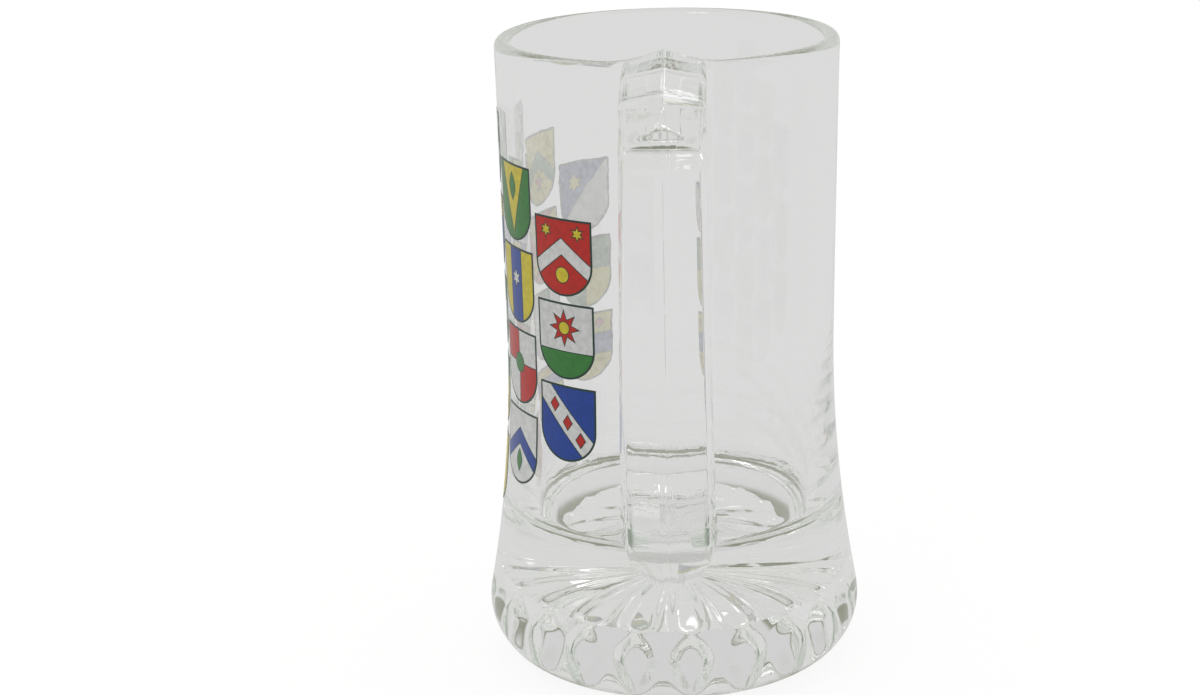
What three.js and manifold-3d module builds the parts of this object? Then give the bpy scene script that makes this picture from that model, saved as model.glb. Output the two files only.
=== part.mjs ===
// Glass mug with a pressed star foot, a handle joined on hot and a printed cluster of shields.
// Millimetres, +Z up, handle towards +X, print on the -Y side, origin under the middle of the overall box.

import * as THREE from 'three';
import { mergeVertices } from 'three/addons/utils/BufferGeometryUtils.js';
import Module from 'manifold-3d';

const wasm = await Module();
wasm.setup();

// Vessel, outside
const MUG_HEIGHT = 155;
const RIM_RADIUS = 40.8;
const WAIST_RADIUS = 39.7;
const WAIST_HEIGHT = 80;
const HEEL_RADIUS = 46;
const HEEL_HEIGHT = 14.5;
const STAND_RADIUS = 31.5;
const STAND_WIDTH = 1.8;

// Vessel, inside
const LIP_THICKNESS = 3.8;
const WALL_THICKNESS = 4.7;
const FLOOR_HEIGHT = 36.5;
const FLOOR_THICKNESS = 13.2;
const FLOOR_FILLET = 5.5;

// Star pressed into the hollow underside of the foot
const STAR_RAYS = 16;
const STAR_TURN = THREE.MathUtils.degToRad(7.5);
const STAR_DOME = 7.2;
const RECESS_DRAFT = 1.2;
const RAY_RELIEF = 1.2;
const FLUTE_RELIEF = 2.2;

// Handle
const HANDLE_REACH = 37.5;
const HANDLE_TOP_WIDTH = 18.8;
const HANDLE_FOOT_WIDTH = 22;
const HANDLE_TOE_WIDTH = 19;
const HANDLE_THICKNESS = 11.5;
const ARM_THICKNESS = 11;
const RIDGE_RISE = 3.4;
const ROOF_DROP = 2.5;
const BEVEL_DROP = 1.6;
const ROOF_RIDGE = 0.4;
const GRIP_FLAT = 3.9;
const EAVE_ROUND = 1.8;
const EDGE_ROUND = 0.8;
const SIDE_DRAFT = 1.3;
const TOP_ARM_DROP = 5.5;
const TOP_CORNER = 4.5;
const TOP_CORNER_FALL = 6;
const TOP_CORNER_BREAK = 2.8;
const INNER_CORNER = 12;
const GRIP_BOW = 2;
const GRIP_TUCK = 5;
const GRIP_WIDEST = 0.8;
const TOE_FILLET = 12;
const TOE_DROP = 3.2;
const TOE_ROUND = 4;
const LOWER_JOINT_HEIGHT = 38.5;
const ROOT_DEPTH = 2.2;
const JOINT_GAP = 0.3;

// Print: one enamel patch per shield, in columns round the -Y side
const COLUMN_COUNTS = [3, 4, 5, 4, 3];
const PRINT_RIM_MARGIN = 16.7;
const PRINT_HEEL_MARGIN = 22.5;
const PRINT_ANGLE = THREE.MathUtils.degToRad(130);
const SHIELD_SPACING = 1.6;
const ENAMEL_THICKNESS = 0.12;
const ENAMEL_GAP = 0.08;

const GLASS = { color: 0xdfe8e2, roughness: 0.05, metalness: 0 };
const ENAMEL_COLOURS = { blue: 0x1d3f9c, green: 0x3f8f3a, yellow: 0xe6cf1a, red: 0xc8201c, white: 0xf2f3ee };
const SEGMENTS = STAR_RAYS * 6;
const HEEL_TURN = THREE.MathUtils.degToRad(10);
const ARM_STEPS = 3;
const CORNER_STEPS = 6;
const GRIP_STEPS = 15;

const heelReach = HEEL_RADIUS - STAND_RADIUS;
const heelTopRadius = STAND_RADIUS + heelReach * Math.cos(HEEL_TURN);
const heelTopHeight = HEEL_HEIGHT * (1 + Math.sin(HEEL_TURN));
const starRadius = STAND_RADIUS - STAND_WIDTH - RECESS_DRAFT;
const starCentreHeight = FLOOR_HEIGHT - FLOOR_THICKNESS;
const starEdgeHeight = starCentreHeight - STAR_DOME;

// Radius of the smooth outside at a height between the heel and the rim.
function outerRadius(z) {
  if (z >= WAIST_HEIGHT) {
    const up = (z - WAIST_HEIGHT) / (MUG_HEIGHT - WAIST_HEIGHT);
    return WAIST_RADIUS + (RIM_RADIUS - WAIST_RADIUS) * up ** 1.25;
  }
  const down = (WAIST_HEIGHT - z) / (WAIST_HEIGHT - heelTopHeight);
  return WAIST_RADIUS + (heelTopRadius - WAIST_RADIUS) * down ** 2;
}

// Radius of the drinking cavity, which widens a little towards the lip.
function cavityRadius(z) {
  const up = (z - FLOOR_HEIGHT) / (MUG_HEIGHT - FLOOR_HEIGHT);
  return THREE.MathUtils.lerp(WAIST_RADIUS - WALL_THICKNESS, RIM_RADIUS - LIP_THICKNESS, up);
}

// Evenly spaced steps from 0 to 1, without the start and with the end.
function steps(count) {
  return Array.from({ length: count }, (unused, i) => (i + 1) / count);
}

function namedMesh(name, geometry, look) {
  const mesh = new THREE.Mesh(geometry, new THREE.MeshStandardMaterial(look));
  mesh.name = name;
  return mesh;
}

// Place across one ray of the star: -1 and 1 on its edges, 0 along its middle.
function acrossRay(column) {
  const perRay = SEGMENTS / STAR_RAYS;
  return 2 * (column % perRay) / perRay - 1;
}

// Joins rings of points into one closed skin, with a single point at each end.
function skinRings(firstPoint, rings, lastPoint) {
  const count = rings[0].length;
  const points = [firstPoint, ...rings.flat(), lastPoint];
  const last = points.length - 1;
  const faces = [];
  for (let column = 0; column < count; column += 1) {
    const next = (column + 1) % count;
    faces.push(0, 1 + next, 1 + column);
    for (let ring = 0; ring < rings.length - 1; ring += 1) {
      const low = 1 + ring * count;
      const high = low + count;
      faces.push(low + column, low + next, high + next);
      faces.push(low + column, high + next, high + column);
    }
    const end = 1 + (rings.length - 1) * count;
    faces.push(end + column, end + next, last);
  }
  const geometry = new THREE.BufferGeometry();
  geometry.setAttribute('position', new THREE.Float32BufferAttribute(points.flat(), 3));
  geometry.setIndex(faces);
  return geometry;
}

// A ring of points round the mug axis. place(across) gives [radius, height] for each column.
// The middle of the first ray is at the turn of the star from the handle.
function ringOf(place) {
  return Array.from({ length: SEGMENTS }, (unused, column) => {
    const angle = 2 * Math.PI * column / SEGMENTS + STAR_TURN - Math.PI / STAR_RAYS;
    const [radius, height] = place(acrossRay(column));
    return [radius * Math.cos(angle), radius * Math.sin(angle), height];
  });
}

// Underside: a domed ceiling with raised rays, then a fluted wall down to the standing ring.
function undersideRings() {
  const standInner = STAND_RADIUS - STAND_WIDTH;
  const ceiling = steps(5).map((out) => ringOf((across) => {
    const dome = THREE.MathUtils.lerp(starCentreHeight, starEdgeHeight, out ** 2);
    return [starRadius * out, dome - RAY_RELIEF * Math.min(1, 2 * out) * (1 - across ** 2)];
  }));
  const wall = steps(4).map((down) => ringOf((across) => {
    const radius = THREE.MathUtils.lerp(starRadius, standInner, down);
    const flute = FLUTE_RELIEF * Math.sin(Math.PI * down) * (1 - across ** 2);
    const rayEnd = RAY_RELIEF * (1 - down) * (1 - across ** 2);
    return [radius + flute, (starEdgeHeight - rayEnd) * (1 - down)];
  }));
  return [...ceiling, ...wall];
}

// Outside: standing ring, rounded heel, flare, barrel and rounded lip.
function outsideRings() {
  const heel = steps(9).map((turn) => {
    const angle = THREE.MathUtils.lerp(-Math.PI / 2, HEEL_TURN, turn);
    return [STAND_RADIUS + heelReach * Math.cos(angle), HEEL_HEIGHT * (1 + Math.sin(angle))];
  });
  const lipRadius = LIP_THICKNESS / 2;
  const lipFoot = MUG_HEIGHT - lipRadius;
  const side = steps(24).map((up) => {
    const z = THREE.MathUtils.lerp(heelTopHeight, lipFoot, up);
    return [outerRadius(z), z];
  });
  const lipMiddle = outerRadius(lipFoot) - lipRadius;
  const lip = steps(8).slice(0, -1).map((turn) => {
    const angle = Math.PI * turn;
    return [lipMiddle + lipRadius * Math.cos(angle), lipFoot + lipRadius * Math.sin(angle)];
  });
  return [[STAND_RADIUS, 0], ...heel, ...side, ...lip].map((place) => ringOf(() => place));
}

// Inside: cavity wall from the lip down, then a fillet into the flat floor.
function insideRings() {
  const filletTop = FLOOR_HEIGHT + FLOOR_FILLET;
  const wallTop = MUG_HEIGHT - LIP_THICKNESS / 2;
  const wall = [0, ...steps(6)].map((down) => {
    const z = THREE.MathUtils.lerp(wallTop, filletTop, down);
    return [cavityRadius(z), z];
  });
  const filletMiddle = cavityRadius(filletTop) - FLOOR_FILLET;
  const fillet = steps(4).map((turn) => {
    const angle = Math.PI / 2 * turn;
    return [filletMiddle + FLOOR_FILLET * Math.cos(angle), filletTop - FLOOR_FILLET * Math.sin(angle)];
  });
  return [...wall, ...fillet].map((place) => ringOf(() => place));
}

// Glass body: one pressed piece, open at the top, hollow under the foot.
function makeGlassBody() {
  const rings = [...undersideRings(), ...outsideRings(), ...insideRings()];
  const starMiddle = [0, 0, starCentreHeight];
  const floorMiddle = [0, 0, FLOOR_HEIGHT];
  return namedMesh('glass_body', skinRings(starMiddle, rings, floorMiddle), GLASS);
}

// Grip of the handle in side view: bows out a little below the corner, then tucks in to its foot.
function gripCurve(top, foot) {
  const bow = new THREE.Vector2(top.x + GRIP_BOW, THREE.MathUtils.lerp(top.y, foot.y, 0.6));
  const tuck = new THREE.Vector2(top.x - GRIP_TUCK, THREE.MathUtils.lerp(top.y, foot.y, 0.85));
  return new THREE.CubicBezierCurve(top, bow, tuck, foot);
}

// One edge of the handle in side view: a sloping top arm, a rounded corner and the grip.
function handleEdge(gripX, armHeight, footHeight, cornerSize, cornerFall, cornerBreak) {
  const root = new THREE.Vector2(outerRadius(MUG_HEIGHT) - ROOT_DEPTH, armHeight);
  const armSlope = TOP_ARM_DROP / (HANDLE_REACH + ROOT_DEPTH - TOP_CORNER);
  const cornerX = gripX - cornerSize;
  const cornerStart = new THREE.Vector2(cornerX, armHeight - armSlope * (cornerX - root.x));
  const cornerTip = new THREE.Vector2(gripX, cornerStart.y - cornerBreak);
  const cornerEnd = new THREE.Vector2(gripX, cornerStart.y - cornerFall);
  const foot = new THREE.Vector2(outerRadius(footHeight) - ROOT_DEPTH, footHeight);
  const arm = new THREE.LineCurve(root, cornerStart).getPoints(ARM_STEPS);
  const corner = new THREE.QuadraticBezierCurve(cornerStart, cornerTip, cornerEnd).getPoints(CORNER_STEPS);
  const grip = gripCurve(cornerEnd, foot).getPoints(GRIP_STEPS);
  return [...arm, ...corner.slice(1), ...grip.slice(1)];
}

// The toe: where the grip's outside comes near the body, it is drawn down along it.
function drawnToe(place) {
  const offBody = place.x - outerRadius(place.y);
  const near = place.y < WAIST_HEIGHT ? THREE.MathUtils.clamp(1 - offBody / TOE_FILLET, 0, 1) : 0;
  return new THREE.Vector2(place.x, place.y - TOE_DROP * near ** 2);
}

// Width of the handle at a share of the grip: widest low down, then narrower to the toe.
function gripWidth(down) {
  if (down < GRIP_WIDEST) {
    return THREE.MathUtils.lerp(HANDLE_TOP_WIDTH, HANDLE_FOOT_WIDTH, down / GRIP_WIDEST);
  }
  const alongToe = (down - GRIP_WIDEST) / (1 - GRIP_WIDEST);
  return THREE.MathUtils.lerp(HANDLE_FOOT_WIDTH, HANDLE_TOE_WIDTH, alongToe ** 2);
}

// Cross-section of the handle at one station: the roof of the arm turns into the flat and two bevels of
// the grip, over drafted sides and a rounded inner face. Entries are [across, share of the thickness].
function handleSection(station) {
  const alongArm = Math.min(1, station / ARM_STEPS);
  const roundCorner = THREE.MathUtils.clamp((station - ARM_STEPS) / CORNER_STEPS, 0, 1);
  const alongGrip = Math.max(0, (station - ARM_STEPS - CORNER_STEPS) / GRIP_STEPS);
  const half = gripWidth(alongGrip) / 2;
  const flat = THREE.MathUtils.lerp(ROOF_RIDGE, GRIP_FLAT, roundCorner) / 2;
  const bevel = THREE.MathUtils.lerp(ROOF_DROP, BEVEL_DROP, alongArm);
  const toe = THREE.MathUtils.smoothstep(alongGrip, GRIP_WIDEST, 1);
  const drop = THREE.MathUtils.lerp(bevel, TOE_ROUND, toe) / HANDLE_THICKNESS;
  const edge = THREE.MathUtils.lerp(EAVE_ROUND, EDGE_ROUND, roundCorner);
  const edgeDepth = edge / HANDLE_THICKNESS;
  const front = half - SIDE_DRAFT * roundCorner;
  const innerFace = [[0.6 * half, 1], [0.86 * half, 0.94], [0.97 * half, 0.8], [half, 0.62]];
  const edgeTurn = [[front, drop + edgeDepth], [front - 0.3 * edge, drop + 0.3 * edgeDepth]];
  const right = [...innerFace, ...edgeTurn, [front - edge, drop], [flat, 0]];
  const left = right.map(([across, depth]) => [-across, depth]).reverse();
  return [...right, ...left];
}

// Handle: pressed on its own, then joined to the hot body, so its two ends follow the body's outside.
function makeHandle() {
  const gripX = outerRadius(MUG_HEIGHT) + HANDLE_REACH;
  const ridgeTop = MUG_HEIGHT + RIDGE_RISE;
  const halfThickness = HANDLE_THICKNESS / 2;
  const innerX = gripX - HANDLE_THICKNESS;
  const armFoot = ridgeTop - ARM_THICKNESS;
  const outerFoot = LOWER_JOINT_HEIGHT - halfThickness;
  const innerFoot = LOWER_JOINT_HEIGHT + halfThickness;
  const bareEdge = handleEdge(gripX, ridgeTop, outerFoot, TOP_CORNER, TOP_CORNER_FALL, TOP_CORNER_BREAK);
  const outer = bareEdge.map(drawnToe);
  const inner = handleEdge(innerX, armFoot, innerFoot, INNER_CORNER, INNER_CORNER, 0);
  const rings = outer.map((ridge, station) => {
    const face = inner[station];
    return handleSection(station).map(([across, depth]) => [
      THREE.MathUtils.lerp(ridge.x, face.x, depth),
      across,
      THREE.MathUtils.lerp(ridge.y, face.y, depth),
    ]);
  });
  const middle = (i) => [(outer[i].x + inner[i].x) / 2, 0, (outer[i].y + inner[i].y) / 2];
  const bar = skinRings(middle(0), rings, middle(outer.length - 1));
  return namedMesh('handle', cutAway(bar, bodyClearance()), GLASS);
}

// The outside of the body grown by the joint gap and carried on above the rim.
function bodyClearance() {
  const above = MUG_HEIGHT + 2 * RIDGE_RISE;
  const side = [0, ...steps(24)].map((up) => {
    const z = THREE.MathUtils.lerp(heelTopHeight, MUG_HEIGHT, up);
    return new THREE.Vector2(outerRadius(z) + JOINT_GAP, z);
  });
  const top = new THREE.Vector2(outerRadius(MUG_HEIGHT) + JOINT_GAP, above);
  const outline = [new THREE.Vector2(0, heelTopHeight), ...side, top, new THREE.Vector2(0, above)];
  return new THREE.LatheGeometry(outline, SEGMENTS * 2).rotateX(Math.PI / 2);
}

function toManifold(geometry) {
  const bare = geometry.clone();
  bare.deleteAttribute('normal');
  bare.deleteAttribute('uv');
  const merged = mergeVertices(bare, 1e-4);
  const mesh = new wasm.Mesh({
    numProp: 3,
    vertProperties: new Float32Array(merged.attributes.position.array),
    triVerts: new Uint32Array(merged.index.array),
  });
  mesh.merge();
  return new wasm.Manifold(mesh);
}

function cutAway(geometry, cutter) {
  const cut = toManifold(geometry).subtract(toManifold(cutter)).getMesh();
  const result = new THREE.BufferGeometry();
  result.setAttribute('position', new THREE.Float32BufferAttribute(cut.vertProperties, 3));
  result.setIndex([...cut.triVerts]);
  return result;
}

// Even pitches that fill the print's height with the longest column and its width with all the columns.
const printFoot = heelTopHeight + PRINT_HEEL_MARGIN;
const printTop = MUG_HEIGHT - PRINT_RIM_MARGIN;
const rowPitch = (printTop - printFoot + SHIELD_SPACING) / Math.max(...COLUMN_COUNTS);
const columnPitch = (PRINT_ANGLE * WAIST_RADIUS + SHIELD_SPACING) / COLUMN_COUNTS.length;
const shieldHeight = rowPitch - SHIELD_SPACING;
const shieldWidth = columnPitch - SHIELD_SPACING;

// Height of a shield's lower edge from its middle at a place across it: straight sides, round foot.
function shieldFoot(across) {
  const shoulder = 0.08 * shieldHeight;
  return -shoulder - (shieldHeight / 2 - shoulder) * Math.sqrt(1 - across ** 2);
}

// One shield: a thin enamel patch that follows the outside of the glass at a small gap.
function makeShield(name, colour, arcMiddle, heightMiddle) {
  const columns = 8;
  const rows = 3;
  const spot = (column, row, lift) => {
    const across = 2 * column / columns - 1;
    const height = heightMiddle + THREE.MathUtils.lerp(shieldFoot(across), shieldHeight / 2, row / rows);
    const arc = arcMiddle + across * shieldWidth / 2;
    const angle = arc / WAIST_RADIUS - Math.PI / 2;
    const radius = outerRadius(height) + ENAMEL_GAP + lift;
    return [radius * Math.cos(angle), radius * Math.sin(angle), height];
  };
  const points = [];
  for (const lift of [0, ENAMEL_THICKNESS]) {
    for (let row = 0; row <= rows; row += 1) {
      for (let column = 0; column <= columns; column += 1) {
        points.push(spot(column, row, lift));
      }
    }
  }
  const back = (column, row) => row * (columns + 1) + column;
  const front = (column, row) => back(column, row) + (columns + 1) * (rows + 1);
  const faces = [];
  const quad = (a, b, c, d) => faces.push(a, b, c, a, c, d);
  for (let column = 0; column < columns; column += 1) {
    for (let row = 0; row < rows; row += 1) {
      quad(front(column, row), front(column + 1, row), front(column + 1, row + 1), front(column, row + 1));
      quad(back(column, row), back(column, row + 1), back(column + 1, row + 1), back(column + 1, row));
    }
    quad(back(column, 0), back(column + 1, 0), front(column + 1, 0), front(column, 0));
    quad(back(column, rows), front(column, rows), front(column + 1, rows), back(column + 1, rows));
  }
  for (let row = 0; row < rows; row += 1) {
    quad(back(0, row), front(0, row), front(0, row + 1), back(0, row + 1));
    quad(back(columns, row), back(columns, row + 1), front(columns, row + 1), front(columns, row));
  }
  const geometry = new THREE.BufferGeometry();
  geometry.setAttribute('position', new THREE.Float32BufferAttribute(points.flat(), 3));
  geometry.setIndex(faces);
  return namedMesh(name, geometry, { color: ENAMEL_COLOURS[colour], roughness: 0.3, metalness: 0 });
}

// The cluster: columns of shields side by side, each column centred on the middle of the print.
function makeShields() {
  const fieldColours = Object.keys(ENAMEL_COLOURS);
  const middleColumn = (COLUMN_COUNTS.length - 1) / 2;
  return COLUMN_COUNTS.flatMap((count, column) => Array.from({ length: count }, (unused, row) => {
    const colour = fieldColours[(2 * column + row) % fieldColours.length];
    const arc = (column - middleColumn) * columnPitch;
    const height = (printFoot + printTop) / 2 + ((count - 1) / 2 - row) * rowPitch;
    return makeShield(`shield_${column + 1}_${row + 1}_${colour}`, colour, arc, height);
  }));
}

const mug = new THREE.Group();
mug.name = 'mug';
mug.add(makeGlassBody(), makeHandle(), ...makeShields());
mug.position.x = (HEEL_RADIUS - outerRadius(MUG_HEIGHT) - HANDLE_REACH) / 2;

const part = new THREE.Group();
part.name = 'glass_mug';
part.add(mug);

export default part;
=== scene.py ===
import math

import bmesh
import bpy
from mathutils import Matrix, Vector
from mathutils.geometry import interpolate_bezier


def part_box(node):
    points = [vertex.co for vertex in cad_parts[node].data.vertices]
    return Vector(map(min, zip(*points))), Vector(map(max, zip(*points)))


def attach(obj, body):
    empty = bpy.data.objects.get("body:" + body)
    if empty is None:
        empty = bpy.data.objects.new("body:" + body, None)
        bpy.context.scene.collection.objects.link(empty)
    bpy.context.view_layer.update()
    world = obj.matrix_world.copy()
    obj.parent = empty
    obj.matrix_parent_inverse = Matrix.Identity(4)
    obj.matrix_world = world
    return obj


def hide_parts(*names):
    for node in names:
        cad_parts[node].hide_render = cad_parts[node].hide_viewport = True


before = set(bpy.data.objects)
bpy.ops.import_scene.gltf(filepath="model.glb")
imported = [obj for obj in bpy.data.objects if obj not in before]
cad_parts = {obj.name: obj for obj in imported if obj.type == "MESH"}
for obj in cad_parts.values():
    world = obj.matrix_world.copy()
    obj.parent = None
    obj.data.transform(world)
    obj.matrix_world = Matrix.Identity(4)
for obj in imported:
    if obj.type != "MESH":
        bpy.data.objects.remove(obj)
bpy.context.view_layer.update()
bpy.ops.object.select_all(action="DESELECT")

# Camera: held a little above the rim, with the handle towards it.
# Its place, tilt and lens come from the outline of the mug in the photo.
body_low, body_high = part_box("glass_body")
axis_x = (body_low.x + body_high.x) / 2
CAMERA_DISTANCE = 0.5769
CAMERA_HEIGHT = 0.2504
CAMERA_SIDE = math.radians(0.95)
CAMERA_PITCH = math.radians(16.644)
CAMERA_YAW = math.radians(1.718)
CAMERA_ROLL = math.radians(-1.276)
CAMERA_LENS = 73.75
CAMERA_SENSOR = 36
CAMERA_NEAR = 0.01

bpy.ops.object.camera_add()
camera = bpy.context.object
camera.name = "camera"
camera.data.sensor_fit = "HORIZONTAL"
camera.data.sensor_width = CAMERA_SENSOR
camera.data.lens = CAMERA_LENS
camera.data.clip_start = CAMERA_NEAR
camera_place = Matrix.Translation((
    axis_x + CAMERA_DISTANCE * math.cos(CAMERA_SIDE),
    CAMERA_DISTANCE * math.sin(CAMERA_SIDE),
    CAMERA_HEIGHT,
))
camera_heading = Matrix.Rotation(math.pi / 2 + CAMERA_SIDE + CAMERA_YAW, 4, "Z")
camera_tilt = Matrix.Rotation(math.pi / 2 - CAMERA_PITCH, 4, "X")
camera_roll = Matrix.Rotation(CAMERA_ROLL, 4, "Z")
camera.matrix_world = camera_place @ camera_heading @ camera_tilt @ camera_roll
bpy.context.scene.camera = camera

# Room: plain and pale, with a dim green patch straight overhead.
# The camera sees it white, and the glass sees it as the pale grey of the photo.
bpy.context.scene.view_settings.view_transform = "Standard"
GLASS_BOUNCES = 128
bpy.context.scene.cycles.max_bounces = GLASS_BOUNCES
bpy.context.scene.cycles.transmission_bounces = GLASS_BOUNCES
bpy.context.scene.cycles.glossy_bounces = GLASS_BOUNCES

WHITE = (1, 1, 1, 1)
ROOM_GREY = (0.69, 0.69, 0.675, 1)
CEILING_GREEN = (0.20, 0.215, 0.155, 1)
CEILING_START = 0.885
CEILING_FULL = 0.935
SOFT_LIGHT = 0.95


def glass_rays(tree):
    """Light path of a node tree, and a node that is 1 for what the glass shows and 0 for the rest."""
    light_path = tree.nodes.new("ShaderNodeLightPath")
    through_glass = tree.nodes.new("ShaderNodeMath")
    through_glass.operation = "MAXIMUM"
    tree.links.new(light_path.outputs["Is Glossy Ray"], through_glass.inputs[0])
    tree.links.new(light_path.outputs["Is Transmission Ray"], through_glass.inputs[1])
    return light_path, through_glass


world = bpy.data.worlds.new("pale_room")
bpy.context.scene.world = world
world.use_nodes = True
nodes = world.node_tree.nodes
links = world.node_tree.links
nodes.clear()
direction = nodes.new("ShaderNodeTexCoord")
upwards = nodes.new("ShaderNodeSeparateXYZ")
links.new(direction.outputs["Generated"], upwards.inputs["Vector"])
ceiling = nodes.new("ShaderNodeMapRange")
ceiling.interpolation_type = "SMOOTHSTEP"
ceiling.inputs["From Min"].default_value = CEILING_START
ceiling.inputs["From Max"].default_value = CEILING_FULL
links.new(upwards.outputs["Z"], ceiling.inputs["Value"])
room_colour = nodes.new("ShaderNodeMix")
room_colour.data_type = "RGBA"
room_colour.inputs["A"].default_value = ROOM_GREY
room_colour.inputs["B"].default_value = CEILING_GREEN
links.new(ceiling.outputs["Result"], room_colour.inputs["Factor"])
room = nodes.new("ShaderNodeBackground")
links.new(room_colour.outputs["Result"], room.inputs["Color"])
soft_light = nodes.new("ShaderNodeBackground")
soft_light.inputs["Color"].default_value = WHITE
soft_light.inputs["Strength"].default_value = SOFT_LIGHT
white = nodes.new("ShaderNodeBackground")
white.inputs["Color"].default_value = WHITE
light_path, through_glass = glass_rays(world.node_tree)
seen_in_glass = nodes.new("ShaderNodeMixShader")
links.new(through_glass.outputs["Value"], seen_in_glass.inputs["Fac"])
links.new(soft_light.outputs["Background"], seen_in_glass.inputs[1])
links.new(room.outputs["Background"], seen_in_glass.inputs[2])
seen_by_camera = nodes.new("ShaderNodeMixShader")
links.new(light_path.outputs["Is Camera Ray"], seen_by_camera.inputs["Fac"])
links.new(seen_in_glass.outputs["Shader"], seen_by_camera.inputs[1])
links.new(white.outputs["Background"], seen_by_camera.inputs[2])
world_output = nodes.new("ShaderNodeOutputWorld")
links.new(seen_by_camera.outputs["Shader"], world_output.inputs["Surface"])

# Table: a plain matt plane, lifted to white for the camera and to pale grey for the glass.
# The glass alone shows a ring of shade under the foot, which is paler under the handle.
FLOOR_SIZE = 6
FLOOR_DROP = 0.0002
FLOOR_GREY = (0.12, 0.12, 0.117, 1)
FLOOR_ROUGHNESS = 0.9
LIFT_FOR_CAMERA = 0.89
LIFT_FOR_GLASS = 0.59
SHADE_OLIVE = (0.36, 0.375, 0.27, 1)
SHADE_INSIDE = (0.0265, 0.029)
SHADE_OUTSIDE = (0.0385, 0.0425)
SHADE_GAP = (math.radians(42), math.radians(26))
SHADE_UNDER_HANDLE = 0.25

bpy.ops.mesh.primitive_plane_add(size=FLOOR_SIZE, location=(0, 0, -FLOOR_DROP))
floor = bpy.context.object
floor.name = "floor"
floor_material = bpy.data.materials.new("pale_table")
floor_material.use_nodes = True
nodes = floor_material.node_tree.nodes
links = floor_material.node_tree.links
table_top = nodes["Principled BSDF"]
table_top.inputs["Base Color"].default_value = FLOOR_GREY
table_top.inputs["Roughness"].default_value = FLOOR_ROUGHNESS
table_top.inputs["Specular IOR Level"].default_value = 0
light_path, through_glass = glass_rays(floor_material.node_tree)
camera_lift = nodes.new("ShaderNodeMath")
camera_lift.operation = "MULTIPLY"
camera_lift.inputs[1].default_value = LIFT_FOR_CAMERA
links.new(light_path.outputs["Is Camera Ray"], camera_lift.inputs[0])
lift = nodes.new("ShaderNodeMath")
lift.operation = "MULTIPLY_ADD"
lift.inputs[1].default_value = LIFT_FOR_GLASS
links.new(through_glass.outputs["Value"], lift.inputs[0])
links.new(camera_lift.outputs["Value"], lift.inputs[2])
spot = nodes.new("ShaderNodeTexCoord")
from_axis = nodes.new("ShaderNodeVectorMath")
from_axis.operation = "DISTANCE"
from_axis.inputs[1].default_value = (axis_x, 0, 0)
links.new(spot.outputs["Object"], from_axis.inputs[0])
shade_edges = []
for start, end in (SHADE_INSIDE, SHADE_OUTSIDE):
    edge = nodes.new("ShaderNodeMapRange")
    edge.interpolation_type = "SMOOTHSTEP"
    edge.inputs["From Min"].default_value = start
    edge.inputs["From Max"].default_value = end
    links.new(from_axis.outputs["Value"], edge.inputs["Value"])
    shade_edges.append(edge)
shade = nodes.new("ShaderNodeMath")
shade.operation = "SUBTRACT"
links.new(shade_edges[0].outputs["Result"], shade.inputs[0])
links.new(shade_edges[1].outputs["Result"], shade.inputs[1])
along = nodes.new("ShaderNodeSeparateXYZ")
links.new(spot.outputs["Object"], along.inputs["Vector"])
off_axis = nodes.new("ShaderNodeMath")
off_axis.operation = "SUBTRACT"
off_axis.inputs[1].default_value = axis_x
links.new(along.outputs["X"], off_axis.inputs[0])
side_cosine = nodes.new("ShaderNodeMath")
side_cosine.operation = "DIVIDE"
links.new(off_axis.outputs["Value"], side_cosine.inputs[0])
links.new(from_axis.outputs["Value"], side_cosine.inputs[1])
handle_side = nodes.new("ShaderNodeMapRange")
handle_side.interpolation_type = "SMOOTHSTEP"
handle_side.inputs["From Min"].default_value = math.cos(SHADE_GAP[0])
handle_side.inputs["From Max"].default_value = math.cos(SHADE_GAP[1])
handle_side.inputs["To Min"].default_value = 1
handle_side.inputs["To Max"].default_value = SHADE_UNDER_HANDLE
links.new(side_cosine.outputs["Value"], handle_side.inputs["Value"])
sided_shade = nodes.new("ShaderNodeMath")
sided_shade.operation = "MULTIPLY"
links.new(shade.outputs["Value"], sided_shade.inputs[0])
links.new(handle_side.outputs["Result"], sided_shade.inputs[1])
shade_in_glass = nodes.new("ShaderNodeMath")
shade_in_glass.operation = "MULTIPLY"
links.new(sided_shade.outputs["Value"], shade_in_glass.inputs[0])
links.new(through_glass.outputs["Value"], shade_in_glass.inputs[1])
shaded = nodes.new("ShaderNodeMix")
shaded.data_type = "RGBA"
shaded.inputs["A"].default_value = WHITE
shaded.inputs["B"].default_value = SHADE_OLIVE
links.new(shade_in_glass.outputs["Value"], shaded.inputs["Factor"])
links.new(shaded.outputs["Result"], table_top.inputs["Emission Color"])
links.new(lift.outputs["Value"], table_top.inputs["Emission Strength"])
floor.data.materials.append(floor_material)


# Lamps: a small window behind the mug and a soft lamp in front of it.
# They put the white glints on the glass, and the camera doesn't see them.
def add_lamp(name, place, target, width, depth, power):
    """A soft rectangular lamp at a place, turned to a target."""
    bpy.ops.object.light_add(type="AREA", location=place)
    lamp = bpy.context.object
    lamp.name = name
    lamp.data.shape = "RECTANGLE"
    lamp.data.size = width
    lamp.data.size_y = depth
    lamp.data.energy = power
    lamp.rotation_euler = (Vector(target) - Vector(place)).to_track_quat("-Z", "Y").to_euler()
    lamp.visible_camera = False


MUG_MIDDLE = (axis_x, 0, 0.08)
add_lamp("back_window", (-1.545, 0.266, 1.03), MUG_MIDDLE, width=0.256, depth=0.21, power=0.22)
add_lamp("front_lamp", (0.9, -0.5, 1.3), MUG_MIDDLE, width=0.35, depth=0.35, power=1.5)

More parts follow.
